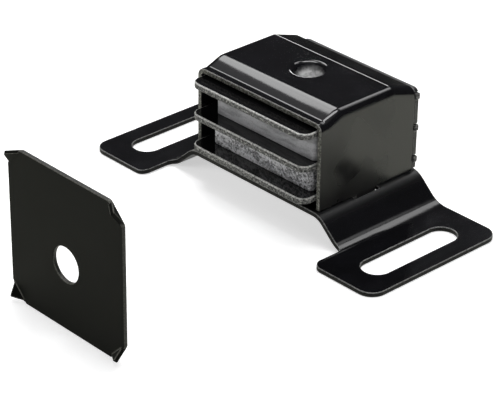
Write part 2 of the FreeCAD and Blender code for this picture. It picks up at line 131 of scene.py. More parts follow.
def tint(tree: Tree, value: Feed, span: Span, under: Any, over: Any,
         share: Span = (0.0, 1.0)) -> Node:
    """Lays one colour over another, as far as a value has come along a span.

    Args:
        tree: Node tree to work in.
        value: The value that is followed.
        span: Where the value's span starts and ends.
        under: Lower colour, or what feeds it.
        over: Upper colour, or what feeds it.
        share: Share of the upper colour at the start and at the end of the span.

    Returns:
        The node that gives the colour.
    """
    cover = add_node(tree, "ShaderNodeMapRange", {0: value, (1, 2): span, (3, 4): share}, **SMOOTH)
    return add_node(tree, "ShaderNodeMix", {0: cover, 6: under, 7: over}, **COLOUR)


def start_material(name: str) -> tuple[bpy.types.Material, Tree, bpy.types.NodeSocket]:
    """Makes an empty node material.

    Args:
        name: Material's name.

    Returns:
        The material, its node tree and the object's coordinates.
    """
    material = bpy.data.materials.new(name)
    material.use_nodes = True
    tree = material.node_tree
    tree.nodes.clear()
    return material, tree, add_node(tree, "ShaderNodeTexCoord").outputs["Object"]


# Finishes


@dataclass(frozen=True)
class Grain:
    """A noise with a grain of a real size.

    Attributes:
        size: Millimetres across one grain.
        layers: Number of finer layers in it.
        fineness: Strength of the finer layers.
    """

    size: float
    layers: float
    fineness: float

    def over(self, where: Feed) -> dict[str, Any]:
        """Inputs that a noise node takes to show the grain over coordinates in metres."""
        return {"Vector": where, "Scale": 1.0 / (self.size * MM), "Detail": self.layers,
                "Roughness": self.fineness}


@dataclass(frozen=True)
class DishHighlight:
    """A painted highlight on the dish floor, pale mottled grey where the bowl reflects overhead
    light, densest in its middle.

    Lengths are in millimetres.

    Attributes:
        at: Middle of the spot.
        reach: Radius of the spot.
        fade: How far inside and outside that radius the spot fades.
        wander: How far its outline wanders.
        outline: Noise of the wandering.
        grain: Noise of its two greys.
        mottle: Noise values where the paler grey starts and is complete.
        dark: Darker grey of the painted highlight.
        pale: Paler grey of the painted highlight.
        halo: How much wider than the spot its dullness is.
        roughness: Roughness of the coat under the painted highlight.
    """

    at: Place
    reach: float = 2.2
    fade: Span = (0.6, 0.9)
    wander: float = 0.4
    outline: Grain = Grain(0.6, 3.0, 0.6)
    grain: Grain = Grain(1.1, 4.0, 0.7)
    mottle: Span = (0.34, 0.62)
    dark: str = "747474"
    pale: str = "b4b4b4"
    halo: float = 0.6
    roughness: float = 0.45

    def share(self, tree: Tree, where: Feed, wider: float = 0.0) -> Node:
        """Marks the spot.

        Args:
            tree: Node tree to work in.
            where: Coordinates in metres.
            wider: Millimetres by which the spot's reach grows.

        Returns:
            The node that gives the share of rubbed coat.
        """
        away = add_node(tree, "ShaderNodeVectorMath", {
            0: where, 1: tuple(value * MM for value in self.at)}, operation="DISTANCE")
        ragged = add_node(tree, "ShaderNodeTexNoise", self.outline.over(where))
        edge = add_node(tree, "ShaderNodeMath", {0: ragged, 1: self.wander * MM, 2: away},
                        operation="MULTIPLY_ADD")
        reach = self.reach + wider
        return add_node(tree, "ShaderNodeMapRange", {
            0: edge, 1: (reach - self.fade[0]) * MM, 2: (reach + self.fade[1]) * MM,
            3: 1.0, 4: 0.0}, **SMOOTH)

    def over(self, tree: Tree, where: Feed, colour: Feed, dull: Feed) -> tuple[Node, Node]:
        """Lays the painted highlight over a coat.

        Args:
            tree: Node tree to work in.
            where: Coordinates in metres.
            colour: The coat's colour.
            dull: The coat's roughness.

        Returns:
            The nodes that give the colour and the roughness with the spot on them.
        """
        grain = add_node(tree, "ShaderNodeTexNoise", self.grain.over(where))
        greys = tint(tree, grain, self.mottle, linear(self.dark), linear(self.pale))
        return (add_node(tree, "ShaderNodeMix", {
                    0: self.share(tree, where), 6: colour, 7: greys}, **COLOUR),
                add_node(tree, "ShaderNodeMix", {
                    0: self.share(tree, where, self.halo), 2: dull, 3: self.roughness}))


@dataclass(frozen=True)
class FullSlope:
    """A drawn slope that is a little full in its middle, which only its shading shows.

    Lengths are in millimetres.

    Attributes:
        lip: Row y of its lower edge.
        crease: Row y of its upper crease.
        bend: Half the width of that crease.
        belly: Degrees by which the shading bends at most.
        facing: Z of a normal that starts to count as the slope, and that counts fully.
        off_lip: How far from the lip the bending starts and is complete.
    """

    lip: float
    crease: float
    bend: float = 0.8
    belly: float = 4.0
    facing: Span = (0.6, 0.85)
    off_lip: Span = (-0.2, 0.3)

    def normal(self, tree: Tree, behind: Feed, upward: Feed) -> Node:
        """Bends the slope's shading.

        Args:
            tree: Node tree to work in.
            behind: Coordinate along Y in metres.
            upward: Z of the face's own normal.

        Returns:
            The node that gives the bent normal.
        """
        middle = self.crease - self.bend
        rising = add_node(tree, "ShaderNodeMapRange", {
            0: behind, 1: (self.crease + self.bend) * MM, 2: middle * MM}, **SMOOTH)
        # Twice as far as it rises, so the lean below the slope's middle is the other way
        falling = add_node(tree, "ShaderNodeMapRange", {
            0: behind, 1: middle * MM, 2: self.lip * MM, 3: 0.0, 4: 2.0})
        steepest = math.tan(math.radians(self.belly))
        lean = add_node(tree, "ShaderNodeMath", {0: rising, 1: falling}, operation="SUBTRACT")
        for share in (
                {0: upward, (1, 2): self.facing, 3: 0.0, 4: steepest},
                {0: behind, (1, 2): tuple((self.lip + off) * MM for off in self.off_lip)}):
            part = add_node(tree, "ShaderNodeMapRange", share, **SMOOTH)
            lean = add_node(tree, "ShaderNodeMath", {0: lean, 1: part}, operation="MULTIPLY")
        tip = add_node(tree, "ShaderNodeCombineXYZ", {1: lean})
        flat = add_node(tree, "ShaderNodeNewGeometry").outputs["Normal"]
        bent = add_node(tree, "ShaderNodeVectorMath", {0: flat, 1: tip}, operation="ADD")
        return add_node(tree, "ShaderNodeVectorMath", {0: bent}, operation="NORMALIZE")


@dataclass(frozen=True)
class DippedCoat:
    """Black electro-dipped enamel on steel: glossy, a little wavy, thin on cut edges.

    Lengths are in millimetres. An arris is an eased edge, along which a painted highlight line is
    laid.

    Attributes:
        name: Material's name.
        coat: Colour of the coat.
        haze: Colour of its clouds.
        edge: Colour of a cut edge.
        bare: Colour of torn steel on a cut edge.
        cloud: Noise of the clouds.
        hazy: Noise values where the haze starts and is complete.
        dulled: Noise values where a cloud starts to dull the gloss, and has done so.
        gloss: Roughness outside the clouds.
        dullest: Roughness in the clouds.
        speck: Noise of the thin specks.
        specked: Noise values where a speck starts and is complete.
        speck_share: How much of the edge's colour a speck shows.
        wall_facing: Sideways share of a normal where a side wall starts and is complete.
        wall_patch: Noise of the dull patches on a side wall.
        patched: Noise values where such a patch starts and is complete.
        wall_roughness: Roughness of a side wall outside the patches and in them.
        dull_above: Height from which the coat is duller, if it is.
        dull_run: Height over which it gets so.
        dull_roughness: Roughness above that.
        edge_roughness: Roughness of a cut edge.
        wave: Noise of the coat's waves.
        wave_height: Height of the waves.
        edge_grain: Noise of a cut edge.
        edge_height: Depth of its pits.
        torn: Grain values where torn steel starts and is complete.
        coated: Grain values where coat left in the pits ends.
        coated_share: How much of the coat's colour the deepest pits show.
        metallic: Grain values where the torn steel starts to be metallic, and is.
        bare_share: Metallic share of torn steel.
        sheen: Specular level of the coat.
        cut_sheen: Specular level of a cut edge.
        arris: Colour of the painted highlight along an arris.
        highlight_up: How much of that painted highlight an arris facing up shows.
        highlight_down: How much of it one facing down shows.
        highlight_facing: Z of a normal that counts as down, and that counts as up.
        highlight_depth: Row y behind which an arris shows little painted highlight.
        highlight_fade: Length over which it gets so.
        highlight_rest: How much is left behind that row.
        highlight_grain: Grain values where the painted highlight starts to show whole, and does.
        highlight_least: How much of it shows where the grain breaks it up.
        spot: Painted highlight on a dish floor, if there is one.
        slope: Full slope, if there is one.
    """

    name: str
    coat: str = "0e0e10"
    haze: str = "121215"
    edge: str = "55554f"
    bare: str = "9a9a94"
    cloud: Grain = Grain(6.0, 4.0, 0.6)
    hazy: Span = (0.35, 0.7)
    dulled: Span = (0.3, 0.75)
    gloss: float = 0.07
    dullest: float = 0.1
    speck: Grain = Grain(0.25, 2.0, 0.6)
    specked: Span = (0.78, 0.86)
    speck_share: float = 0.3
    wall_facing: Span = (0.8, 0.98)
    wall_patch: Grain = Grain(9.0, 2.0, 0.45)
    patched: Span = (0.38, 0.62)
    wall_roughness: Span = (0.2, 0.36)
    dull_above: float | None = None
    dull_run: float = 1.2
    dull_roughness: float = 0.34
    edge_roughness: float = 0.42
    wave: Grain = Grain(3.0, 2.0, 0.45)
    wave_height: float = 0.004
    edge_grain: Grain = Grain(0.28, 3.0, 0.7)
    edge_height: float = 0.05
    torn: Span = (0.52, 0.62)
    coated: Span = (0.38, 0.48)
    coated_share: float = 0.8
    metallic: Span = (0.5, 0.62)
    bare_share: float = 0.35
    sheen: float = 0.5
    cut_sheen: float = 0.3
    # Painted highlight along the eased edges: its colour, and where and how strongly it shows
    arris: str = "a2a29c"
    highlight_up: float = 0.7
    highlight_down: float = 0.0
    highlight_facing: Span = (-0.1, 0.5)
    highlight_depth: float = 60.0
    highlight_fade: float = 2.0
    highlight_rest: float = 0.1
    highlight_grain: Span = (0.32, 0.6)
    highlight_least: float = 0.25
    spot: DishHighlight | None = None
    slope: FullSlope | None = None

    def arris_highlight(self, tree: Tree, grain: Feed, upward: Feed, behind: Feed) -> Node:
        """Marks where an arris gets its painted highlight: more facing up and in front, broken up by
        the grain.

        Args:
            tree: Node tree to work in.
            grain: Grain of the edges.
            upward: Z of the face's own normal.
            behind: Coordinate along Y in metres.

        Returns:
            The node that gives the share of the painted highlight's colour.
        """
        facing, outer, highlight_break = (add_node(tree, "ShaderNodeMapRange", inputs, **SMOOTH) for inputs in (
            {0: upward, (1, 2): self.highlight_facing, 3: self.highlight_down, 4: self.highlight_up},
            {0: behind, 1: (self.highlight_depth - self.highlight_fade) * MM, 2: self.highlight_depth * MM,
             3: 1.0, 4: self.highlight_rest},
            {0: grain, (1, 2): self.highlight_grain, 3: self.highlight_least, 4: 1.0}))
        ridge = add_node(tree, "ShaderNodeAttribute", attribute_name="arris").outputs["Fac"]
        shown = facing
        for share in (outer, ridge, highlight_break):
            shown = add_node(tree, "ShaderNodeMath", {0: shown, 1: share}, operation="MULTIPLY")
        return shown

    def dullness(self, tree: Tree, clouds: Feed, patches: Feed, sideways: Feed,
                 height: Feed) -> Node:
        """Works out the uncut coat's roughness.

        Args:
            tree: Node tree to work in.
            clouds: Noise of the clouds.
            patches: Noise of the patches on a side wall.
            sideways: X of the face's own normal.
            height: Coordinate along Z in metres.

        Returns:
            The node that gives the roughness.
        """
        turned = add_node(tree, "ShaderNodeMath", {0: sideways}, operation="ABSOLUTE")
        dull, wall, share = (add_node(tree, "ShaderNodeMapRange", inputs, **SMOOTH) for inputs in (
            {0: clouds, (1, 2): self.dulled, 3: self.gloss, 4: self.dullest},
            {0: patches, (1, 2): self.patched, (3, 4): self.wall_roughness},
            {0: turned, (1, 2): self.wall_facing}))
        dull = add_node(tree, "ShaderNodeMix", {0: share, 2: dull, 3: wall})
        if self.dull_above is not None:
            share = add_node(tree, "ShaderNodeMapRange", {
                0: height, 1: self.dull_above * MM, 2: (self.dull_above + self.dull_run) * MM},
                **SMOOTH)
            dull = add_node(tree, "ShaderNodeMix", {0: share, 2: dull, 3: self.dull_roughness})
        return dull

    def build(self) -> bpy.types.Material:
        """Builds the material.

        Returns:
            The finished material.
        """
        material, tree, where = start_material(self.name)
        cut = add_node(tree, "ShaderNodeAttribute", attribute_name="cut_edge").outputs["Fac"]
        facing = add_node(tree, "ShaderNodeNewGeometry").outputs["True Normal"]
        facing = add_node(tree, "ShaderNodeSeparateXYZ", {0: facing}).outputs
        place = add_node(tree, "ShaderNodeSeparateXYZ", {0: where}).outputs
        clouds, specks, grain, patches, waves = (
            add_node(tree, "ShaderNodeTexNoise", noise.over(where))
            for noise in (self.cloud, self.speck, self.edge_grain, self.wall_patch, self.wave))

        coat = tint(tree, clouds, self.hazy, linear(self.coat), linear(self.haze))
        coat = tint(tree, specks, self.specked, coat, linear(self.edge), (0.0, self.speck_share))
        shorn = tint(tree, grain, self.torn, linear(self.edge), linear(self.bare))
        shorn = tint(tree, grain, self.coated, shorn, linear(self.coat), (self.coated_share, 0.0))
        colour = add_node(tree, "ShaderNodeMix", {0: cut, 6: coat, 7: shorn}, **COLOUR)
        # Painted highlight along the eased edges, in the arris colour
        arris_highlight = self.arris_highlight(tree, grain, facing["Z"], place["Y"])
        colour = add_node(tree, "ShaderNodeMix", {0: arris_highlight, 6: colour, 7: linear(self.arris)},
                          **COLOUR)
        dull = self.dullness(tree, clouds, patches, facing["X"], place["Z"])
        # Painted highlight on the dish floor, in pale mottled grey
        if self.spot:
            colour, dull = self.spot.over(tree, where, colour, dull)
        rough = add_node(tree, "ShaderNodeMix", {0: cut, 2: dull, 3: self.edge_roughness})
        steel = add_node(tree, "ShaderNodeMapRange", {
            0: grain, (1, 2): self.metallic, 3: 0.0, 4: self.bare_share}, **SMOOTH)
        metal = add_node(tree, "ShaderNodeMath", {0: cut, 1: steel}, operation="MULTIPLY")

        swell = add_node(tree, "ShaderNodeBump", {
            "Strength": 1.0, "Distance": self.wave_height * MM, "Height": waves})
        if self.slope:
            bent = self.slope.normal(tree, place["Y"], facing["Z"])
            tree.links.new(bent.outputs[0], swell.inputs["Normal"])
        pits = add_node(tree, "ShaderNodeBump", {
            "Strength": cut, "Distance": self.edge_height * MM, "Height": grain, "Normal": swell})
        shader = add_node(tree, "ShaderNodeBsdfPrincipled", {
            "Base Color": colour, "Roughness": rough, "Metallic": metal,
            "Specular IOR Level": self.sheen, "Normal": pits})
        shine = add_node(tree, "ShaderNodeMix", {0: cut, 2: self.sheen, 3: self.cut_sheen})
        tree.links.new(shine.outputs[0], shader.inputs["Specular IOR Level"])
        add_node(tree, "ShaderNodeOutputMaterial", {"Surface": shader})
        return material


@dataclass(frozen=True)
class SinteredFerrite:
    """Pressed and fired ferrite: dull grey, with pores and pale grains.

    Attributes:
        name: Material's name.
        base: Colour between grains and pores.
        pale: Colour of grains and drag marks.
        dark: Colour of pores.
        speckle: Noise of the grains and pores.
        contrast: How much of their colours grains and pores show.
        grainy: Noise values where a grain starts and is complete.
        porous: Noise values where a pore is complete and ends.
        pore_depth: Depth of the pores in millimetres.
        pore_strength: How much of that depth the shading shows.
        streak: Noise of the drag marks.
        stretch: Scale of the drag marks along each axis.
        turn: Radians by which they turn about each axis.
        dragged: Noise values where a drag mark starts and is complete.
        drag_share: How much of the pale colour a drag mark shows.
        dulled: Noise values between which the roughness changes.
        roughness: Roughness at those values.
    """

    name: str
    base: str
    pale: str
    dark: str
    speckle: Grain = Grain(0.3, 3.0, 0.75)
    contrast: float = 1.0
    grainy: Span = (0.52, 0.6)
    porous: Span = (0.38, 0.47)
    pore_depth: float = 0.08
    pore_strength: float = 0.6
    streak: Grain = Grain(3.0, 3.0, 0.55)
    stretch: Place = (0.45, 1.0, 1.8)
    turn: Place = (0.0, 0.5, 0.0)
    dragged: Span = (0.4, 0.6)
    drag_share: float = 0.8
    dulled: Span = (0.3, 0.7)
    roughness: Span = (0.62, 0.42)

    def build(self) -> bpy.types.Material:
        """Builds the material.

        Returns:
            The finished material.
        """
        material, tree, where = start_material(self.name)
        turned = add_node(tree, "ShaderNodeMapping", {
            "Vector": where, "Rotation": self.turn, "Scale": self.stretch})
        grain = add_node(tree, "ShaderNodeTexNoise", self.speckle.over(where))
        streaks = add_node(tree, "ShaderNodeTexNoise", self.streak.over(turned))
        colour = linear(self.base)
        for value, span, over, share in (
                (streaks, self.dragged, self.pale, (0.0, self.drag_share)),
                (grain, self.grainy, self.pale, (0.0, self.contrast)),
                (grain, self.porous, self.dark, (self.contrast, 0.0))):
            colour = tint(tree, value, span, colour, linear(over), share)
        dull = add_node(tree, "ShaderNodeMapRange", {
            0: grain, (1, 2): self.dulled, (3, 4): self.roughness}, **SMOOTH)
        pits = add_node(tree, "ShaderNodeBump", {
            "Strength": self.pore_strength, "Distance": self.pore_depth * MM, "Height": grain})
        shader = add_node(tree, "ShaderNodeBsdfPrincipled", {
            "Base Color": colour, "Roughness": dull, "Normal": pits})
        add_node(tree, "ShaderNodeOutputMaterial", {"Surface": shader})
        return material


@dataclass(frozen=True)
class BareFleck:
    """Bright torn steel: the tiny facets that a blunt punch leaves on a cut edge.

    Attributes:
        name: Material's name.
        steel: Colour of the brightest facets.
        dull: Colour of the dullest facets.
        patch: Noise of the bright patches.
        bright: Noise values where brightness starts and is complete.
        polished: Noise values between which the roughness changes.
        roughness: Roughness at those values.
        metallic: Metallic share.
    """

    name: str
    steel: str = "f2f2ee"
    dull: str = "9a9a96"
    patch: Grain = Grain(0.5, 2.0, 0.6)
    bright: Span = (0.35, 0.65)
    polished: Span = (0.3, 0.7)
    roughness: Span = (0.38, 0.26)
    metallic: float = 0.75

    def build(self) -> bpy.types.Material:
        """Builds the material.

        Returns:
            The finished material.
        """
        material, tree, where = start_material(self.name)
        tone = add_node(tree, "ShaderNodeTexNoise", self.patch.over(where))
        colour = tint(tree, tone, self.bright, linear(self.dull), linear(self.steel))
        rough = add_node(tree, "ShaderNodeMapRange", {
            0: tone, (1, 2): self.polished, (3, 4): self.roughness}, **SMOOTH)
        shader = add_node(tree, "ShaderNodeBsdfPrincipled", {
            "Base Color": colour, "Roughness": rough, "Metallic": self.metallic})
        add_node(tree, "ShaderNodeOutputMaterial", {"Surface": shader})
        return material


class Finish(Enum):
    """The finishes of the catch, at least one for each of the record's slots."""

    # Electro-dipped black on drawn sheet: deep gloss with sharp lamp edges, duller side walls, a
    # painted highlight along the eased edges, and a painted pale grey highlight on the dish floor
    COVER = DippedCoat("black_electrocoat_on_cover", wave_height=0.006, highlight_depth=13.0,
                       spot=DishHighlight((-0.15, 4.65, 21.56)), slope=FullSlope(-6.5, -3.2))
    # The same dip on the strap: its punched edges stay black, with a fine painted highlight along
    # them
    STRAP = DippedCoat("black_electrocoat_on_strap", edge="161616", bare="2a2a29", gloss=0.1,
                       dullest=0.15, dull_above=3.4, wave=Grain(2.2, 2.0, 0.45),
                       wave_height=0.008, edge_height=0.012, bare_share=0.1, cut_sheen=0.12,
                       arris="a6a6a4", highlight_up=0.65, highlight_down=0.3)
    # Blanked pole plates under a thin dip: black faces, sheared rims torn to grey steel, and a
    # bright painted highlight on the front arrises
    PLATE = DippedCoat("black_coat_on_pole_plate", coat="0c0c0d", haze="101011", edge="5c5c5b",
                       bare="a8a8a4", edge_grain=Grain(0.42, 3.0, 0.7), cut_sheen=0.15,
                       arris="e6e6e2", highlight_up=0.95, highlight_depth=-6.0)
    # Satin dip on the strike plate: an even near-black face without mirrored lamps, and a painted
    # highlight on its upper arrises
    STRIKE = DippedCoat("satin_black_coat_on_strike", coat="10110f", haze="141512",
                        edge="242422", bare="3e3e3a", gloss=0.4, dullest=0.48, edge_height=0.01,
                        bare_share=0.1, sheen=0.05, arris="76766f", highlight_up=0.75)
    # Ferrite ground flat: smooth mid grey with soft drag marks
    UPPER = SinteredFerrite("ferrite_ground_smooth", base="98989a", pale="c2c2c4",
                            dark="6e6e70", streak=Grain(1.8, 3.0, 0.55), contrast=0.3)
    # Ferrite as it left the kiln: salt-and-pepper grain, drawn twice as coarse as real to show
    LOWER = SinteredFerrite("ferrite_as_fired", base="828284", pale="e2e2e4",
                            dark="3a3a3c", speckle=Grain(0.42, 3.0, 0.75), contrast=0.95)
    # Bare steel where a shear tore the rim: tiny bright glints
    FLECK = BareFleck("torn_steel_fleck")


@dataclass
class Paintbox:
    """Makes each finish once and hands it out.

    Attributes:
        made: Materials made so far.
    """

    made: dict[Finish, bpy.types.Material] = field(default_factory=dict)

    def get(self, finish: Finish) -> bpy.types.Material:
        """Hands out a material, and makes it at its first use.

        Args:
            finish: Which finish.

        Returns:
            Its material.
        """
        if finish not in self.made:
            self.made[finish] = finish.value.build()
        return self.made[finish]


# Sheet pieces


# Tells from a face's centre, in millimetres, and its normal whether it is a cut edge
CutRule = Callable[[Vector, Vector], bool]
# A normal with more than FACING of an axis faces along it, and with less than ASIDE beside it
FACING = 0.9
ASIDE = 0.2


@dataclass
class EasedSolid:
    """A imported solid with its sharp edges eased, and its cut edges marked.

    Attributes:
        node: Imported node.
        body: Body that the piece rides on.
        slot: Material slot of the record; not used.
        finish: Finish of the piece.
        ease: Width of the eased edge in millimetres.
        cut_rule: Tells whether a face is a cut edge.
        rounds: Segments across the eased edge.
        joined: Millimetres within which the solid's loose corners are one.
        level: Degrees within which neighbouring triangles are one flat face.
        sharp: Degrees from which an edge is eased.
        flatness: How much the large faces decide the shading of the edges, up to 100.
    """

    node: str
    body: str
    slot: str
    finish: Finish
    ease: float
    cut_rule: CutRule
    rounds: int = 2
    joined: float = 0.0005
    level: float = 0.6
    sharp: float = 38.0
    flatness: int = 90

    def solid(self) -> bmesh.types.BMesh:
        """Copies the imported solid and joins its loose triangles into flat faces.

        Returns:
            The joined solid.
        """
        shell = bmesh.new()
        shell.from_mesh(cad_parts[self.node].data)
        bmesh.ops.remove_doubles(shell, verts=shell.verts, dist=self.joined * MM)
        bmesh.ops.dissolve_limit(shell, angle_limit=math.radians(self.level), verts=shell.verts,
                                 edges=shell.edges, use_dissolve_boundaries=False)
        return shell

    def mark_cut(self, shell: bmesh.types.BMesh) -> None:
        """Writes 1 in cut_edge on each face that the rule picks.

        Args:
            shell: The joined solid.
        """
        layer = shell.faces.layers.float.new("cut_edge")
        for face in shell.faces:
            centre = face.calc_center_median() / MM
            face[layer] = 1.0 if self.cut_rule(centre, face.normal) else 0.0

    def mark_arris(self, mesh: bpy.types.Mesh) -> None:
        """Writes 1 in arris on each face that the easing made, and clears their slot.

        Args:
            mesh: The eased mesh.
        """
        ridge = mesh.attributes.new("arris", "FLOAT", "FACE")
        made = [float(face.material_index) for face in mesh.polygons]
        ridge.data.foreach_set("value", made)
        mesh.polygons.foreach_set("material_index", [0] * len(made))

    def eased(self, piece: bpy.types.Object) -> bpy.types.Mesh:
        """Eases a piece's sharp edges and shades them smooth into its flat faces.

        Args:
            piece: The piece, with two slots: the eased faces go into the second.

        Returns:
            The eased mesh.
        """
        ease = piece.modifiers.new("ease", "BEVEL")
        ease.limit_method = "ANGLE"
        ease.angle_limit = math.radians(self.sharp)
        ease.width = self.ease * MM
        ease.segments = self.rounds
        ease.material = 1
        ease.use_clamp_overlap = False
        ease.miter_outer = "MITER_ARC"
        level = piece.modifiers.new("level", "WEIGHTED_NORMAL")
        level.mode = "FACE_AREA_WITH_ANGLE"
        level.weight = self.flatness
        level.keep_sharp = False
        plain = bpy.data.meshes.new_from_object(
            piece.evaluated_get(bpy.context.evaluated_depsgraph_get()))
        piece.modifiers.clear()
        return plain

    def build(self, paints: Paintbox) -> bpy.types.Object:
        """Builds the piece.

        Args:
            paints: Source of the finish.

        Returns:
            The finished piece.
        """
        shell = self.solid()
        self.mark_cut(shell)
        mesh = bpy.data.meshes.new(self.node + "_eased")
        shell.to_mesh(mesh)
        shell.free()
        for face in mesh.polygons:
            face.use_smooth = True
        for _ in range(2):
            mesh.materials.append(None)
        piece = bpy.data.objects.new(self.node + "_eased", mesh)
        bpy.context.scene.collection.objects.link(piece)
        piece.data = self.eased(piece)
        self.mark_arris(piece.data)
        piece.data.materials.clear()
        piece.data.materials.append(paints.get(self.finish))
        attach(piece, self.body)
        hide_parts(self.node)
        LOG.info("%s: %d faces", piece.name, len(piece.data.polygons))
        return piece


# Sub-assemblies


@dataclass
class Housing:
    """Cover and strap, the two folded pieces that hold the stack.

    Attributes:
        front: Row y before which the cover's front edges lie, in millimetres.
        back: Row y behind which its back edges lie.
        neck: Height below which the strap's upright faces are cut edges.
        ease: Width of the eased edges.
    """

    front: float = -7.98
    back: float = 15.08
    neck: float = 5.45
    ease: float = 0.14

    def cover_cut(self, centre: Vector, normal: Vector) -> bool:
        """Picks the cover's front and back edges."""
        return abs(normal.y) > FACING and not self.front <= centre.y <= self.back

    def strap_cut(self, centre: Vector, normal: Vector) -> bool:
        """Picks the strap's edges: upright faces of its feet, slants and middle."""
        return abs(normal.z) < ASIDE and centre.z < self.neck

    def build(self, paints: Paintbox) -> bpy.types.Object:
        """Builds both pieces.

        Args:
            paints: Source of the finishes.

        Returns:
            The cover.
        """
        cover = EasedSolid("cover", "catch", "cover_coat", Finish.COVER, self.ease,
                           self.cover_cut).build(paints)
        EasedSolid("base_strap", "catch", "strap_coat", Finish.STRAP, self.ease,
                   self.strap_cut).build(paints)
        return cover


@dataclass
class Stack:
    """Three pole plates with a ferrite block in each gap.

    Attributes:
        ease: Width of a plate's eased edges, in millimetres.
        chip: Width of a block's eased edges.
    """

    ease: float = 0.22
    chip: float = 0.16

    def plate_cut(self, centre: Vector, normal: Vector) -> bool:
        """Picks a plate's rim."""
        return abs(normal.z) < ASIDE

    def block_cut(self, centre: Vector, normal: Vector) -> bool:
        """Picks no face of a block."""
        return False

    def build(self, paints: Paintbox) -> list[bpy.types.Object]:
        """Builds plates and blocks.

        Args:
            paints: Source of the finishes.

        Returns:
            The three plates, from the bottom up.
        """
        plates = [EasedSolid(f"pole_plate_{level}", "catch", "pole_plate_steel", Finish.PLATE,
                             self.ease, self.plate_cut).build(paints)
                  for level in ("bottom", "middle", "top")]
        for level, finish in (("lower", Finish.LOWER), ("upper", Finish.UPPER)):
            EasedSolid(f"magnet_{level}", "catch", "ferrite", finish, self.chip,
                       self.block_cut).build(paints)
        return plates


@dataclass
class Strike:
    """The loose plate that goes on the door.

    Attributes:
        ease: Width of its eased edges, in millimetres.
    """

    ease: float = 0.16

    def cut(self, centre: Vector, normal: Vector) -> bool:
        """Picks the plate's rim and the screw hole's wall."""
        return abs(normal.y) < ASIDE

    def build(self, paints: Paintbox) -> bpy.types.Object:
        """Builds the plate."""
        return EasedSolid("strike_plate", "strike", "strike_coat", Finish.STRIKE, self.ease,
                          self.cut).build(paints)


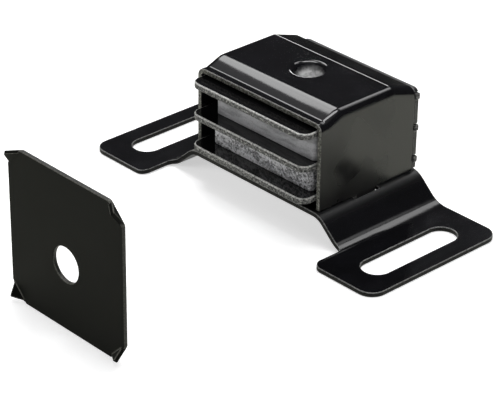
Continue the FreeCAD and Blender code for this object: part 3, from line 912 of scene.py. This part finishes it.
@dataclass
class EdgeFlecks:
    """Bright torn flecks along the cut edges, scattered by a node tree.

    Attributes:
        name: Piece's name.
        source: Eased piece whose cut edges carry the flecks.
        slot: Material slot of the record; not used.
        seed: Seed of the scatter.
        density: Flecks per square millimetre.
        size: Width of a middling fleck in millimetres.
        spread: Smallest and largest fleck as shares of that width.
        thickness: Height of a fleck as a share of its width.
        front: Flecks are only on faces before this row y, in millimetres.
        upward: Flecks are only on eased faces with more Z in their normal than this.
    """

    name: str
    source: bpy.types.Object
    slot: str
    seed: int
    density: float = 9.0
    size: float = 0.13
    spread: Span = (0.45, 1.5)
    thickness: float = 0.45
    front: float = -7.9
    upward: float = 0.3

    def chosen(self, tree: Tree, front: Feed) -> Node:
        """Picks the eased faces that carry flecks.

        Args:
            tree: Node tree to work in.
            front: Row y before which they lie, in metres.

        Returns:
            The node that gives the choice.
        """
        ridge = add_node(tree, "GeometryNodeInputNamedAttribute", {"Name": "arris"},
                         data_type="FLOAT")
        lifted = add_node(tree, "ShaderNodeSeparateXYZ", {
            0: add_node(tree, "GeometryNodeInputNormal")}).outputs["Z"]
        crest = add_node(tree, "ShaderNodeMath", {0: ridge, 1: lifted}, operation="MULTIPLY")
        depth = add_node(tree, "ShaderNodeSeparateXYZ", {
            0: add_node(tree, "GeometryNodeInputPosition")}).outputs["Y"]
        ahead = add_node(tree, "FunctionNodeCompare", {0: depth, 1: front}, data_type="FLOAT",
                         operation="LESS_THAN")
        raised = add_node(tree, "FunctionNodeCompare", {0: crest, 1: self.upward},
                          data_type="FLOAT", operation="GREATER_THAN")
        return add_node(tree, "FunctionNodeBooleanMath", {0: ahead, 1: raised}, operation="AND")

    def tree(self, material: bpy.types.Material) -> Tree:
        """Builds the scatter's node tree.

        Args:
            material: Finish of the flecks.

        Returns:
            The tree, with named inputs for density, size, front and seed.
        """
        tree = bpy.data.node_groups.new(self.name + "_scatter", "GeometryNodeTree")
        for title, way, kind in (
                ("Geometry", "INPUT", "Geometry"), ("Density", "INPUT", "Float"),
                ("Size", "INPUT", "Float"), ("Front", "INPUT", "Float"),
                ("Seed", "INPUT", "Int"), ("Geometry", "OUTPUT", "Geometry")):
            tree.interface.new_socket(title, in_out=way, socket_type="NodeSocket" + kind)
        entry = add_node(tree, "NodeGroupInput").outputs
        points = add_node(tree, "GeometryNodeDistributePointsOnFaces", {
            "Mesh": entry["Geometry"], "Selection": self.chosen(tree, entry["Front"]),
            "Density": entry["Density"], "Seed": entry["Seed"]}, distribute_method="RANDOM")
        fleck = add_node(tree, "GeometryNodeMeshIcoSphere", {"Radius": 0.5, "Subdivisions": 1})
        share = add_node(tree, "FunctionNodeRandomValue", {
            (2, 3): self.spread, "Seed": entry["Seed"]}, data_type="FLOAT")
        width = add_node(tree, "ShaderNodeMath", {0: share, 1: entry["Size"]},
                         operation="MULTIPLY")
        height = add_node(tree, "ShaderNodeMath", {0: width, 1: self.thickness},
                          operation="MULTIPLY")
        spread = add_node(tree, "GeometryNodeInstanceOnPoints", {
            "Points": points.outputs["Points"], "Instance": fleck.outputs["Mesh"],
            "Rotation": points.outputs["Rotation"],
            "Scale": add_node(tree, "ShaderNodeCombineXYZ", {0: width, 1: width, 2: height})})
        real = add_node(tree, "GeometryNodeRealizeInstances", {0: spread})
        dressed = add_node(tree, "GeometryNodeSetMaterial", {
            "Geometry": real, "Material": material})
        add_node(tree, "NodeGroupOutput", {0: dressed})
        return tree

    def build(self, paints: Paintbox) -> bpy.types.Object:
        """Scatters the flecks and turns them into one plain mesh.

        Args:
            paints: Source of the finish.

        Returns:
            The finished piece.
        """
        tree = self.tree(paints.get(Finish.FLECK))
        piece = bpy.data.objects.new(self.name, self.source.data.copy())
        bpy.context.scene.collection.objects.link(piece)
        scatter = piece.modifiers.new("scatter", "NODES")
        scatter.node_group = tree
        values = {"Density": self.density / MM ** 2, "Size": self.size * MM,
                  "Front": self.front * MM, "Seed": self.seed}
        for socket in tree.interface.items_tree:
            if socket.in_out == "INPUT" and socket.name in values:
                scatter[socket.identifier] = values[socket.name]
        plain = bpy.data.meshes.new_from_object(
            piece.evaluated_get(bpy.context.evaluated_depsgraph_get()))
        piece.modifiers.clear()
        piece.data = plain
        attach(piece, "catch")
        LOG.info("%s: %d faces", self.name, len(plain.polygons))
        return piece


# Surroundings


@dataclass(frozen=True)
class SoftBox:
    """A rectangular lamp that looks at the middle of the object.

    Attributes:
        name: Lamp's name.
        bearing: Degrees round from -Y towards +X.
        rise: Degrees above the floor.
        distance: Metres from the object's middle.
        width: Metres across.
        height: Metres high.
        power: Watts.
        mirrored: Whether the gloss shows the lamp itself.
    """

    name: str
    bearing: float
    rise: float
    distance: float
    width: float
    height: float
    power: float
    mirrored: bool = True

    def build(self, aim: Vector) -> bpy.types.Object:
        """Builds the lamp.

        Args:
            aim: What it looks at, in metres.

        Returns:
            The lamp.
        """
        turn, lift = math.radians(self.bearing), math.radians(self.rise)
        away = Vector((math.sin(turn) * math.cos(lift), -math.cos(turn) * math.cos(lift),
                       math.sin(lift)))
        lamp = bpy.data.lights.new(self.name, "AREA")
        lamp.shape = "RECTANGLE"
        lamp.size, lamp.size_y = self.width, self.height
        lamp.energy = self.power
        made = bpy.data.objects.new(self.name, lamp)
        made.location = aim + away * self.distance
        made.rotation_euler = (-away).to_track_quat("-Z", "Y").to_euler()
        made.visible_glossy = self.mirrored
        bpy.context.scene.collection.objects.link(made)
        return made


def straight(tree: Tree, seen: Node) -> Node:
    """Tells rays that come straight from the camera, or through something clear, from others.

    Args:
        tree: Node tree to work in.
        seen: Its Light Path node.

    Returns:
        The node that gives 1 for such a ray.
    """
    return add_node(tree, "ShaderNodeMath", {
        0: seen.outputs["Is Camera Ray"], 1: seen.outputs["Is Transmission Ray"]},
        operation="MAXIMUM")


@dataclass(frozen=True)
class StudioAir:
    """Dim surroundings, brighter overhead, that the camera sees as white.

    Attributes:
        low: Colour towards the horizon.
        high: Colour overhead.
        overhead: Z of a direction where that colour starts and is complete.
        horizon: Z of a direction where the white below the floor ends.
    """

    low: str = "414143"
    high: str = "b5b5b5"
    overhead: Span = (0.8, 0.98)
    horizon: Span = (-0.02, 0.0)

    def build(self) -> None:
        """Builds the world."""
        world = bpy.data.worlds.new("studio_air")
        bpy.context.scene.world = world
        world.use_nodes = True
        tree = world.node_tree
        tree.nodes.clear()
        where = add_node(tree, "ShaderNodeTexCoord").outputs["Generated"]
        rise = add_node(tree, "ShaderNodeSeparateXYZ", {0: where}).outputs["Z"]
        sky = tint(tree, rise, self.overhead, linear(self.low), linear(self.high))
        under = add_node(tree, "ShaderNodeMapRange", {
            0: rise, (1, 2): self.horizon, 3: 1.0, 4: 0.0}, **SMOOTH)
        white = add_node(tree, "ShaderNodeMath", {
            0: straight(tree, add_node(tree, "ShaderNodeLightPath")), 1: under},
            operation="MAXIMUM")
        sky = add_node(tree, "ShaderNodeMix", {0: white, 6: sky, 7: WHITE}, **COLOUR)
        air = add_node(tree, "ShaderNodeBackground", {"Color": sky, "Strength": 1.0})
        add_node(tree, "ShaderNodeOutputWorld", {"Surface": air})


@dataclass(frozen=True)
class PaperSweep:
    """A white floor that keeps the object's shadow, and can be looked through from below.

    The gloss sees it white near the object and black further off, as in a dark studio.

    Attributes:
        half: Metres from its middle to its sides.
        level: Its height in millimetres, just under the feet.
        paper: Colours of its mottle.
        mottle: Noise of the mottle.
        roughness: Its roughness.
        sheen: Its specular level.
        warm: Colour that the gloss sees.
        dark: Colour further off, for all but the camera.
        darkens: Metres from the middle where that starts and is complete.
        mirror_share: How much of its glow the gloss sees.
        glow_from: Metres from the middle where the glow starts to rise, and is complete.
        glow: Strength of the glow at those places.
    """

    half: float = 4.0
    level: float = -0.03
    paper: tuple[str, str] = ("eeeeee", "f2f2f2")
    mottle: Grain = Grain(40.0, 2.0, 0.5)
    roughness: float = 0.9
    sheen: float = 0.1
    warm: str = "f4f5e4"
    dark: str = "101010"
    darkens: Span = (0.16, 0.34)
    mirror_share: float = 0.35
    glow_from: Span = (0.3, 1.5)
    glow: Span = (0.55, 1.0)

    def material(self) -> bpy.types.Material:
        """Builds the material: matt uncoated paper, which shows an even, soft white.

        Returns:
            The finished material.
        """
        material, tree, where = start_material("white_paper_sweep")
        seen = add_node(tree, "ShaderNodeLightPath")
        camera, gloss = seen.outputs["Is Camera Ray"], seen.outputs["Is Glossy Ray"]
        away = add_node(tree, "ShaderNodeVectorMath", {0: where}, operation="LENGTH")
        far = add_node(tree, "ShaderNodeMapRange", {0: away, (1, 2): self.darkens}, **SMOOTH)
        fade = add_node(tree, "ShaderNodeMath", {0: far, 1: camera}, operation="SUBTRACT",
                        use_clamp=True)
        tone = add_node(tree, "ShaderNodeTexNoise", self.mottle.over(where))
        colour = linear(self.paper[0])
        for share, over in ((tone, self.paper[1]), (gloss, self.warm), (fade, self.dark)):
            colour = add_node(tree, "ShaderNodeMix", {0: share, 6: colour, 7: linear(over)},
                              **COLOUR)
        paper = add_node(tree, "ShaderNodeBsdfPrincipled", {
            "Base Color": colour, "Roughness": self.roughness, "Specular IOR Level": self.sheen})
        near = add_node(tree, "ShaderNodeMath", {0: gloss, 1: far}, operation="SUBTRACT",
                        use_clamp=True)
        near = add_node(tree, "ShaderNodeMath", {0: near, 1: self.mirror_share},
                        operation="MULTIPLY")
        shown = add_node(tree, "ShaderNodeMath", {0: straight(tree, seen), 1: near},
                         operation="MAXIMUM")
        rising = add_node(tree, "ShaderNodeMapRange", {
            0: away, (1, 2): self.glow_from, (3, 4): self.glow}, **SMOOTH)
        lift = add_node(tree, "ShaderNodeMath", {0: shown, 1: rising}, operation="MULTIPLY")
        glow = add_node(tree, "ShaderNodeEmission", {"Color": WHITE, "Strength": lift})
        lit = add_node(tree, "ShaderNodeAddShader", {0: paper, 1: glow})
        clear = add_node(tree, "ShaderNodeBsdfTransparent")
        below = add_node(tree, "ShaderNodeNewGeometry").outputs["Backfacing"]
        both = add_node(tree, "ShaderNodeMixShader", {0: below, 1: lit, 2: clear})
        add_node(tree, "ShaderNodeOutputMaterial", {"Surface": both})
        return material

    def build(self) -> None:
        """Builds the floor."""
        mesh = bpy.data.meshes.new("floor")
        signs = ((-1, -1), (1, -1), (1, 1), (-1, 1))
        mesh.from_pydata([(x * self.half, y * self.half, self.level * MM) for x, y in signs],
                         [], [(0, 1, 2, 3)])
        ground = bpy.data.objects.new("floor", mesh)
        bpy.context.scene.collection.objects.link(ground)
        mesh.materials.append(self.material())
        ground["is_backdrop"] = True


@dataclass
class Studio:
    """White floor, dim surroundings, soft lamps and a long lens.

    Attributes:
        aim: What the lamps look at, in metres.
        camera_at: Camera's place in metres.
        right: Camera's right.
        up: Camera's up.
        back: From the object to the camera.
        focal: Focal length in pixels of the photograph.
        picture: Width of the photograph in pixels.
        sensor: Width of the sensor in millimetres.
        clip: Nearest and farthest metres that the camera sees.
        lamps: The soft lamps.
    """

    aim: Vector = field(default_factory=lambda: Vector((0.002, -0.02, 0.01)))
    camera_at: Place = (0.26101, -0.25477, 0.19995)
    right: Place = (0.68015, 0.73299, 0.0108)
    up: Place = (-0.3611, 0.32217, 0.87511)
    back: Place = (0.63797, -0.5991, 0.48381)
    focal: float = 2312.0
    picture: float = 500.0
    sensor: float = 36.0
    clip: Span = (0.01, 20.0)
    lamps: tuple[SoftBox, ...] = (
        SoftBox("overhead", 226.0, 78.0, 1.0, 0.6, 0.3, 4.5),
        SoftBox("left_strip", 238.0, 43.0, 0.8, 0.26, 0.2, 0.85),
        SoftBox("back_panel", 192.0, 50.5, 0.8, 0.3, 0.19, 0.64),
        SoftBox("back_tail", 166.0, 52.0, 0.8, 0.11, 0.16, 0.07),
        SoftBox("side_haze", 260.0, 54.0, 0.8, 0.3, 0.3, 0.15),
        SoftBox("low_strip", 219.5, 15.5, 0.9, 0.15, 0.14, 0.46),
        SoftBox("front_fill", -15.0, 30.0, 1.0, 0.6, 0.4, 2.8, mirrored=False),
        SoftBox("right_fill", 95.0, 25.0, 1.0, 0.6, 0.4, 2.1, mirrored=False))

    def camera(self) -> None:
        """Sets the camera at the photograph's place."""
        data = bpy.data.cameras.new("camera")
        data.sensor_fit = "HORIZONTAL"
        data.sensor_width = self.sensor
        data.lens = self.focal * self.sensor / self.picture
        data.clip_start, data.clip_end = self.clip
        made = bpy.data.objects.new("camera", data)
        turn = Matrix((self.right, self.up, self.back)).transposed().to_4x4()
        made.matrix_world = Matrix.Translation(self.camera_at) @ turn
        bpy.context.scene.collection.objects.link(made)
        bpy.context.scene.camera = made

    def build(self) -> None:
        """Builds the surroundings."""
        StudioAir().build()
        PaperSweep().build()
        for lamp in self.lamps:
            lamp.build(self.aim)
        self.camera()
        bpy.context.scene.view_settings.view_transform = "Standard"


def write_sizes() -> None:
    """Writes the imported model's box and the dressed model's box."""
    names = ("cad", "visual")
    boxes = {name: [list(corner) for corner in box]
             for name, box in zip(names, (CAD_BOX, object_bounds()))}
    LOG.info("sizes %s", boxes)


def main() -> None:
    """Builds the whole scene in order."""
    logging.basicConfig(level=logging.INFO, format="%(name)s: %(message)s")
    for material in list(bpy.data.materials):
        bpy.data.materials.remove(material)
    paints = Paintbox()
    cover = Housing().build(paints)
    plates = Stack().build(paints)
    Strike().build(paints)
    for number, plate in enumerate(plates):
        EdgeFlecks(plate.name.replace("_eased", "_flecks"), plate, "pole_plate_steel",
                   seed=number + 1).build(paints)
    EdgeFlecks("cover_flecks", cover, "cover_coat", seed=7, density=5.0).build(paints)
    Studio().build()
    write_sizes()


if __name__ == "__main__":
    main()
